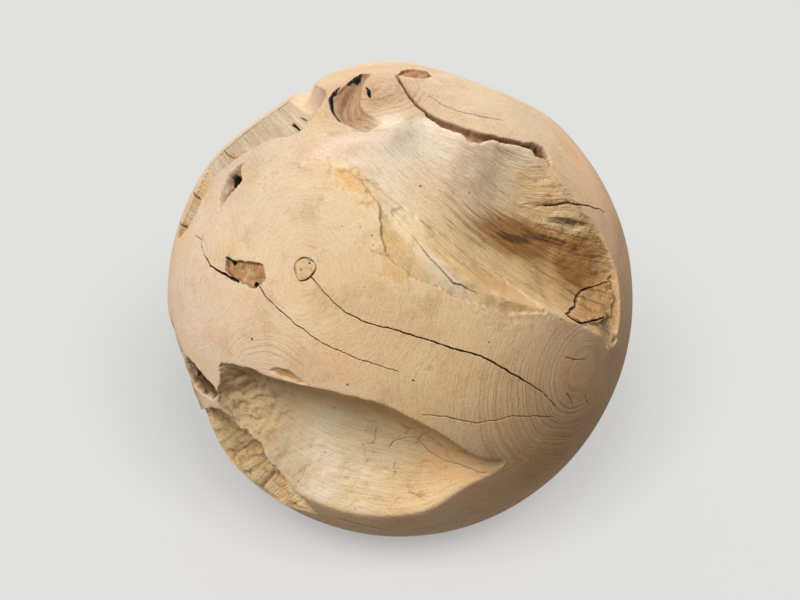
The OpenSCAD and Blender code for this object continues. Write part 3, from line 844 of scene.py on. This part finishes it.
def cleft_tone(facts):
    """Colour of the split cleft."""
    along = facts["cleft_along"]
    grain = noise(facts["cleft_uv"] * [1, 0.06, 1], 5, 92, 3)
    return layered(
        SPLIT,
        (HONEY, 0.15 + 0.7 * grain + 0.4 * step(along, 0.35, 0.15)),
        (ROSY, step(along, 0.6, 0.68) * step(facts["cleft_across"], 0.6, 0.8)),
    )


def bark_tone(facts, relief_shade):
    """Colour of the bark, with painted shade in its furrows and painted highlights on its lumps."""
    far_end = 0.35 * step(facts["bark_along"], 0.6, 0.85)
    return layered(BARK_BROWN, (BARK_DARK, 0.2 * relief_shade - 0.25 + far_end), (BUTTER, -0.2 * relief_shade))


def tones(d, r, facts):
    """Colour of the wood at directions, before its fine grain."""
    p = d * r[:, None]
    east, north = place_of(d)
    e, n = east + 4 * noise(p, 60, 81, 3), north + 4 * noise(p, 60, 82, 3)
    behind = step(d @ TOWARDS, 0.1, -0.3)
    # Depth of the relief: colours darken where it sinks and, on the bark, lighten where it stands proud:
    # painted shade and painted highlights.
    relief_shade = np.clip(facts["relief"], -4, 6)
    streak = noise(facts["hollow_uv"] * [0.15, 1, 1], 10, 96, 3)
    ledge = facts["ledge"] * (1 - facts["hollow"])
    mottled = 0.7 * noise(p, 6, 93, 2)
    rim = step(facts["outline_edge"], 1.3, 0.2) * np.maximum(facts["patch"], facts["knotty"])
    tone = layered(
        SANDED,
        *[(colour, strength * blob(e, n, *where)) for colour, strength, *where in PATCHES],
        (WARM, behind * (0.45 + 0.6 * noise(p, 120, 83, 2))),
        (CRUST, 0.9 * facts["flat"]),
        (hollow_tone(facts, relief_shade), facts["hollow"]),
        (scoop_tone(p, facts, relief_shade), facts["scoop"]),
        (cleft_tone(facts), facts["cleft"] * (1 - 0.7 * step(facts["cleft_along"], 0.7, 0.9))),
        (bark_tone(facts, relief_shade), facts["bark"]),
        (TOP_BROWN, 0.2 * facts["cove"]),
        # painted shade where the cove's relief sinks
        (BROWN, 0.1 * relief_shade * facts["cove"]),
        (LIP_BROWN, (0.8 + 0.5 * noise(p, 7, 95, 3)) * facts["crevice"]),
        # painted shade under the crevice's top lip
        (BARK_DARK, 0.5 * facts["under_lip"]),
        (OCHRE, 0.15 * facts["torn"]),
        (BROWN, 0.3 * facts["tear"]),
        (OCHRE, ledge * (0.45 + streak)),
        (PALE, ledge * (-0.7 * streak - 0.1)),
        (GREYISH, 0.35 * ledge * blob(east, north, (9.5, 2.5), 5, 2, -35)),
        *[(colour, facts[name] * (share + mottled)) for name, (colour, share) in OUTLINE_TONES.items()],
        (BARK_DARK, 0.6 * rim),
    )
    return np.clip(tone, 0, 1)


# Fibrous hollows: strength of the fibres, and the floor's directions along and across them.
FIBROUS = {
    "scoop": (0.4, [0, 1]),
    "hollow": (1.0, [0, 1]),
    "cleft": (1.0, [1, 0]),
    "bark": (0.9, [1, 0]),
    "cove": (0.8, [0, 1]),
}
CRUSTY = {
    "flat": 0.8, "bark": 0.65, "patch": 0.9, "knotty": 0.35, "tail": 1.0, "pocket": 0.9, "lens": 0.9,
    "cove": 0.4, "scab": 1.0, "crevice": 0.5, "knot": 0.6,
}
# Piths that growth lines run round.
PITHS = [(46.4, -16), (55, -60), (-20, 6), (-52, 8), (-8, 52), (30, 62), (-30, -75), (150, 20), (-130, -30)]


def fibres(d, facts):
    """Place along and across the fibres of the hollows, in mm, and how strong those fibres are."""
    out = np.zeros((len(d), 3))
    for name, (strength, order) in FIBROUS.items():
        share = facts[name] * strength
        if name == "hollow":
            share = share * step(facts["depth"], 0.5, 9)
            share = share * (0.5 + 0.5 * step(facts["hollow_along"], 0.1, 0.45))
        if name == "cleft":
            share = share * (1 - 0.8 * step(facts["cleft_along"], 0.65, 0.85))
        found = np.column_stack((facts[name + "_uv"][:, order], share))
        out = np.where((share > out[:, 2])[:, None], found, out)
    ledge = 0.6 * facts["ledge"]
    return np.where((ledge > out[:, 2])[:, None], np.column_stack((facts["hollow_uv"][:, :2], ledge)), out)


def marks(d, facts):
    """Strength of the growth lines, how crusty the wood is, and how flaky or, in the scoop, how checked."""
    east, north = place_of(d)
    lines = 0.1 + 0.9 * most(LINED, east, north)
    lines = np.maximum(lines, 0.45 * step(d @ TOWARDS, 0.0, -0.3))
    lines *= 1 - 0.75 * blob(east, north, PITHS[0], 4.5, 4, 0)
    knobbly = facts["scoop"] * step(facts["scoop_along"], 0.4, 0.12)
    frayed = facts["hollow"] * step(facts["hollow_along"], 0.5, 0.65) * step(facts["hollow_across"], 0.6, 0.1)
    crusts = [facts[name] * strength for name, strength in CRUSTY.items()]
    crusty = np.max(crusts + [0.8 * knobbly, frayed, 0.6 * blob(east, north, (-7, 49), 12, 9, 0)], axis=0)
    flaky = most(FLAKY, east, north)
    checked = facts["scoop"] * step(facts["scoop_along"], 0.3, 0.6)
    return np.column_stack((lines, crusty, np.where(facts["scoop"] > 0.5, checked, flaky)))


def hollow_patches_and_crack_shade(d, facts):
    """Strength of the brown stain and of the darkest patches in the upper hollow, and of the painted shade in
    a crack: 1 in a deep crack, less in a shallow one.
    """
    east, north = place_of(d)
    brown, black = (most(patches, east, north) * facts["hollow"] for patches in (BROWN_STAINS, DARKEST_HOLLOW_PATCHES))
    return np.column_stack((brown, black, 0.45 + 0.55 * step(facts["crack_full"], 2, 7)))


class Nodes:
    """Short way to write a node tree."""

    def __init__(self, name):
        self.material = bpy.data.materials.new(name)
        self.material.use_nodes = True
        self.tree = self.material.node_tree
        self.shader = self.tree.nodes["Principled BSDF"]

    def add(self, kind, inputs=None, **settings):
        node = self.tree.nodes.new("ShaderNode" + kind)
        for key, value in settings.items():
            setattr(node, key, value)
        for key, value in (inputs or {}).items():
            self.put(node.inputs[key], value)
        return node

    def put(self, socket, value):
        if isinstance(value, bpy.types.NodeSocket):
            self.tree.links.new(value, socket)
        else:
            socket.default_value = value

    def parts(self, name):
        """Three numbers that the mesh's points keep under a name."""
        kept = self.add("Attribute", attribute_name=name).outputs["Vector"]
        return self.add("SeparateXYZ", {0: kept}).outputs

    def math(self, operation, *values):
        return self.add("Math", dict(enumerate(values)), operation=operation).outputs[0]

    def chain(self, operation, values):
        out = values[0]
        for value in values[1:]:
            out = self.math(operation, out, value)
        return out

    def product(self, *values):
        return self.chain("MULTIPLY", values)

    def total(self, *values):
        return self.chain("ADD", values)

    def point(self, x, y):
        return self.add("CombineXYZ", {0: x, 1: y, 2: 0.0}).outputs[0]

    def vector(self, operation, *values):
        node = self.add("VectorMath", dict(enumerate(values)), operation=operation)
        return node.outputs["Value" if operation in ("LENGTH", "DOT_PRODUCT") else "Vector"]

    def shift(self, vector, other, amount):
        """Vector with an amount of another added."""
        return self.vector("ADD", vector, self.vector("MULTIPLY", other, (amount,) * 3))

    def noise(self, vector, scale, detail, rough):
        node = self.add("TexNoise", {"Vector": vector, "Scale": scale, "Detail": detail, "Roughness": rough})
        return node.outputs["Fac"]

    def line_noise(self, value):
        inputs = {"W": value, "Scale": 1.0, "Detail": 3.0, "Roughness": 0.6}
        return self.add("TexNoise", inputs, noise_dimensions="1D").outputs["Fac"]

    def span(self, value, a, b, to_a=0.0, to_b=1.0):
        inputs = {"Value": value, "From Min": a, "From Max": b, "To Min": to_a, "To Max": to_b}
        return self.add("MapRange", inputs, interpolation_type="SMOOTHSTEP").outputs[0]

    def blend(self, kind, share, a, b):
        node = self.add("Mix", data_type="RGBA", blend_type=kind, clamp_factor=True)
        for socket, value in zip((node.inputs[0], node.inputs[6], node.inputs[7]), (share, a, b)):
            self.put(socket, value)
        return node.outputs[2]


# Growth lines, in metres: how far they wander, how wide they are and how softly those of two piths meet.
LINE_WARP = 0.024
LINE_W = 0.0028
PITH_BLEND = 0.012
SHINE = 0.25
BUMP_STRENGTH, BUMP_HEIGHT = 0.9, 0.0018
# Linear colours that the grain multiplies the tone with, and the one that lightens it.
SCALE_TINT = (0.98, 0.90, 0.73)
PINK_TINT, YELLOW_TINT = (1.0, 0.91, 0.86), (1.0, 0.97, 0.84)
BAND_TINT = (0.90, 0.74, 0.62)
DARK_TINT, LIGHT_TINT = (0.50, 0.34, 0.20), (0.26, 0.20, 0.13)


def ring_turns(n, bent):
    """How many growth lines lie between a point and the nearest pith."""
    away = None
    for pith in PITHS:
        axis = dir_of(pith)
        point = axis * skin(axis) * MM + np.array(MIDDLE)
        gap = n.vector("LENGTH", n.vector("CROSS_PRODUCT", n.vector("SUBTRACT", bent, point), axis))
        away = gap if away is None else n.math("SMOOTH_MIN", away, gap, PITH_BLEND)
    return n.math("DIVIDE", away, LINE_W)


# Noise textures: scale, detail and roughness.
NOISES = {
    "flake": (60.0, 4.0, 0.65), "pores": (480.0, 2.0, 0.6), "mottle": (26.0, 5.0, 0.65),
    "scab": (130.0, 5.0, 0.7), "hue": (16.0, 4.0, 0.6),
}
# Darker and lighter grain: texture, the two values between which it sets in, what limits it, strength.
DARKER = [
    ("growth", 0.48, 0.66, "ringed", 0.40),
    ("dash", 0.50, 0.66, "bare", 0.17),
    ("strand", 0.5, 0.70, "fibrous", 0.50),
    ("thread", 0.5, 0.68, "fibrous", 0.36),
    ("mottle", 0.5, 0.72, "all", 0.28),
    ("pores", 0.52, 0.70, "all", 0.22),
    ("scab", 0.52, 0.66, "crusty", 0.8),
]
LIGHTER = [
    ("growth", 0.47, 0.33, "ringed", 0.75),
    ("dash", 0.48, 0.34, "bare", 0.14),
    ("strand", 0.47, 0.28, "fibrous", 0.45),
    ("thread", 0.47, 0.32, "fibrous", 0.25),
    ("flake", 0.5, 0.3, "all", 0.22),
    ("mottle", 0.48, 0.3, "all", 0.16),
    ("scab", 0.48, 0.32, "crusty", 0.4),
]
# Bumps: texture, what limits it, height.
BUMPS = [
    ("late", "ringed", -0.2), ("dash", "bare", -0.15), ("strand", "fibrous", -2.1),
    ("thread", "fibrous", -0.8), ("flake", "all", 0.2), ("pores", "all", 0.15),
    ("scab", "crusty", -2.9), ("scale", "all", -0.12), ("checks", "all", -0.4),
]


def grain(n):
    """Textures that the wood's colour and bumps share, and what limits them, by name."""
    place = n.add("TexCoord").outputs["Object"]
    g = {name: n.noise(place, *values) for name, values in NOISES.items()}
    u, v, fibrous = n.parts("fibre")
    lines, crusty, flaky = n.parts("marks")
    bare = n.span(fibrous, 0.4, 0.0)
    g.update(all=1.0, fibrous=fibrous, crusty=crusty, bare=bare)
    swirl = n.add("TexNoise", {"Vector": place, "Scale": 8.0, "Detail": 4.0, "Roughness": 0.6})
    swirl = n.vector("SUBTRACT", swirl.outputs["Color"], (0.5, 0.5, 0.5))

    turns = ring_turns(n, n.shift(place, swirl, LINE_WARP))
    g["growth"] = n.line_noise(turns)
    g["late"] = n.span(g["growth"], 0.48, 0.66)
    g["bands"] = n.span(n.line_noise(n.product(turns, 0.2)), 0.5, 0.66)
    patchy = n.span(n.noise(place, 10.0, 2.0, 0.55), 0.3, 0.7, 0.3, 1.0)
    g["ringed"] = n.product(patchy, bare, lines)
    g["dash"] = n.noise(n.shift(n.point(n.product(turns, 2.0), 0.0), place, 80.0), 1.7, 2.0, 0.6)

    strand_at = n.shift(n.point(n.product(u, 0.02), n.product(v, 0.30)), swirl, 2.2)
    g["strand"] = n.noise(strand_at, 1.0, 6.0, 0.72)
    g["thread"] = n.noise(n.vector("MULTIPLY", strand_at, (2.5, 3.2, 1.0)), 1.0, 3.0, 0.6)

    cells = {"Vector": n.shift(place, swirl, 0.08), "Scale": 34.0}
    cells = n.add("TexVoronoi", cells, feature="DISTANCE_TO_EDGE").outputs["Distance"]
    hollow = n.math("SUBTRACT", 1.0, bare)
    g["checks"] = n.product(n.span(cells, 0.045, 0.0), n.span(g["mottle"], 0.48, 0.62), flaky, hollow)
    scaly = n.total(n.noise(place, 34.0, 6.0, 0.62), n.product(flaky, 0.28))
    g["scale"] = n.product(n.span(scaly, 0.645, 0.715), bare)
    g["rim"] = n.product(n.span(scaly, 0.60, 0.65), n.math("SUBTRACT", 1.0, g["scale"]), bare)
    return g


def graded(n, g, rows):
    """Sum of grain rows."""
    return n.total(*[n.product(n.span(g[name], a, b), g[limit], k) for name, a, b, limit, k in rows])


def wood_shade(n, g):
    """Colour of the wood: its tone with stains and dark patches, scales, growth lines, fibres and pores, and
    painted shade in its cracks and holes.
    """
    brown, black, crack_shade = n.parts("hollow_patches_and_crack_shade")
    crack_gap, hole_gap, _ = n.parts("gaps")
    streaks = n.math("SUBTRACT", g["strand"], 0.5)
    shade = n.add("Attribute", attribute_name="tone").outputs["Color"]
    for kind, share, colour in (
        ("MIX", n.span(n.total(brown, n.product(streaks, 1.5)), 0.2, 0.8, 0.0, 0.9), BROWN),
        ("MIX", n.span(n.total(black, n.product(streaks, 2.0)), 0.45, 0.85, 0.0, 0.85), UMBER),
        ("MULTIPLY", g["scale"], SCALE_TINT),
        ("MULTIPLY", n.span(g["hue"], 0.5, 0.68), PINK_TINT),
        ("MULTIPLY", n.span(g["hue"], 0.48, 0.32), YELLOW_TINT),
        ("MULTIPLY", n.product(g["bands"], g["ringed"], 0.9), BAND_TINT),
        ("MULTIPLY", n.total(graded(n, g, DARKER), n.product(g["checks"], 0.45)), DARK_TINT),
        ("SCREEN", n.total(graded(n, g, LIGHTER), n.product(g["rim"], 0.5)), LIGHT_TINT),
        # cracks: partly their own dark lines, partly painted shade, stronger in deep ones
        ("MIX", n.product(n.span(crack_gap, 0.25, -0.1), crack_shade), CRACK_LINE_SHADE),
        # painted shade inside holes and slits
        ("MIX", n.span(hole_gap, 0.7, -0.45), HOLE_SHADE),
    ):
        shade = n.blend(kind, share, shade, (*colour, 1))
    return shade


def wood():
    """Sanded root wood: growth lines round its piths, fibres in its hollows, crust, pores."""
    n = Nodes("root_wood")
    g = grain(n)
    n.put(n.shader.inputs["Base Color"], wood_shade(n, g))
    n.put(n.shader.inputs["Roughness"], n.span(g["dash"], 0.2, 0.8, 0.60, 0.75))
    n.shader.inputs["Specular IOR Level"].default_value = SHINE
    height = n.total(*[n.product(g[name], g[limit], high) for name, limit, high in BUMPS])
    bump = n.add("Bump", {"Height": height, "Strength": BUMP_STRENGTH, "Distance": BUMP_HEIGHT})
    n.put(n.shader.inputs["Normal"], bump.outputs["Normal"])
    return n.material


def new_object(name, data):
    thing = bpy.data.objects.new(name, data)
    bpy.context.collection.objects.link(thing)
    return thing


HOLE_SHADE_BEYOND = 1.0  # how far the painted shade of the left hole runs up its walls


def store(mesh, name, kind, field, values):
    """Keep values of the mesh's points under a name."""
    data = mesh.attributes.new(name, kind, "POINT").data
    data.foreach_set(field, values.astype(np.float32).ravel())


def make_ball():
    d, tris, r, facts = ball_mesh()
    mesh = bpy.data.meshes.new("ball_wood")
    points = d * r[:, None] * MM + np.array(MIDDLE)
    mesh.from_pydata(points.tolist(), [], tris.tolist())
    mesh.polygons.foreach_set("use_smooth", np.ones(len(tris), bool))
    store(mesh, "tone", "FLOAT_COLOR", "color", np.column_stack((tones(d, r, facts), np.ones(len(d)))))
    # Where holes, slits and the left hole's deeper pit are painted dark: painted shade.
    dark_gap = np.minimum(facts["hole_gap"], facts["dark_gap"] - HOLE_SHADE_BEYOND)
    gaps = np.column_stack((facts["crack_gap"], dark_gap, np.zeros(len(d))))
    kept = {"fibre": fibres(d, facts), "marks": marks(d, facts), "hollow_patches_and_crack_shade": hollow_patches_and_crack_shade(d, facts), "gaps": gaps}
    for name, values in kept.items():
        store(mesh, name, "FLOAT_VECTOR", "vector", values)
    mesh.materials.append(wood())
    mesh.update()
    ball = new_object("ball_wood", mesh)
    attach(ball, "root")
    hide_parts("ball")


# Camera: the photograph's frame is 800 by 600, and the ball's half width fills this many pixels of it.
FRAME_W = 800
LENS, SENSOR_W = 50.0, 36.0
HALF_W_PIXELS = 232.5


def make_camera():
    data = bpy.data.cameras.new("camera")
    data.lens, data.sensor_width = LENS, SENSOR_W
    focal_pixels = FRAME_W * LENS / SENSOR_W
    away = HALF_W * MM * math.hypot(1, focal_pixels / HALF_W_PIXELS)
    camera = new_object("camera", data)
    camera.location = MIDDLE + Vector(TOWARDS) * away
    camera.rotation_euler = (math.pi / 2 - FACE_LIFT, 0, 0)
    bpy.context.scene.camera = camera


FLOOR_REACH = 20.0  # metres
FLOOR_PAPER = (*tint(226, 226, 224), 1)
FLOOR_BOUNCE = (0.14, 0.13, 0.12, 1)
GLOW_SHARE = 0.36


def make_stage():
    mesh = bpy.data.meshes.new("floor")
    far = FLOOR_REACH
    mesh.from_pydata([(-far, -far, 0), (far, -far, 0), (far, far, 0), (-far, far, 0)], [], [(0, 1, 2, 3)])
    n = Nodes("floor_paper")
    n.tree.nodes.remove(n.shader)
    path = n.add("LightPath").outputs
    seen = n.math("MAXIMUM", path["Is Camera Ray"], path["Is Glossy Ray"])
    seen = n.math("MAXIMUM", seen, path["Is Transmission Ray"])
    lit = n.add("BsdfDiffuse", {"Color": FLOOR_PAPER}).outputs[0]
    glow = n.add("Emission", {"Color": FLOOR_PAPER, "Strength": 1.0}).outputs[0]
    bounce = n.add("BsdfDiffuse", {"Color": FLOOR_BOUNCE}).outputs[0]
    paper = n.add("MixShader", {0: GLOW_SHARE, 1: lit, 2: glow}).outputs[0]
    both = n.add("MixShader", {0: seen, 1: bounce, 2: paper}).outputs[0]
    n.tree.links.new(both, n.tree.nodes["Material Output"].inputs["Surface"])
    mesh.materials.append(n.material)
    floor = new_object("floor", mesh)


# Lamps: name, where the light comes from, strength, spread in degrees and the only thing it lights.
LAMPS = [
    ("window", (-0.40, -0.36, 0.84), 2.65, 34, "ball_wood"),
    ("back_window", (0.25, 0.80, 0.55), 1.9, 50, "ball_wood"),
    ("fill", (-0.50, -0.85, 0.05), 0.75, 90, "ball_wood"),
    ("ceiling", (0.0, 0.0, 1.0), 0.3, 80, "ball_wood"),
    ("floor_left", (-0.27, -0.60, 0.75), 1.74, 28, "floor"),
    ("floor_right", (0.27, -0.60, 0.75), 1.74, 28, "floor"),
]
AMBIENT = 0.15


def make_light():
    world = bpy.data.worlds.new("studio")
    world.use_nodes = True
    world.node_tree.nodes["Background"].inputs["Color"].default_value = (1.0, 1.0, 1.0, 1)
    world.node_tree.nodes["Background"].inputs["Strength"].default_value = AMBIENT
    bpy.context.scene.world = world
    for name, source, energy, spread, lit in LAMPS:
        data = bpy.data.lights.new(name, "SUN")
        data.energy, data.angle = energy, math.radians(spread)
        lamp = new_object(name, data)
        lamp.rotation_euler = Vector(source).to_track_quat("Z", "Y").to_euler()
        lamp.light_linking.receiver_collection = bpy.data.collections.new("lit_by_" + name)
        lamp.light_linking.receiver_collection.objects.link(bpy.data.objects[lit])


make_camera()
make_stage()
make_ball()
make_light()
bpy.context.scene.view_settings.view_transform = "Standard"
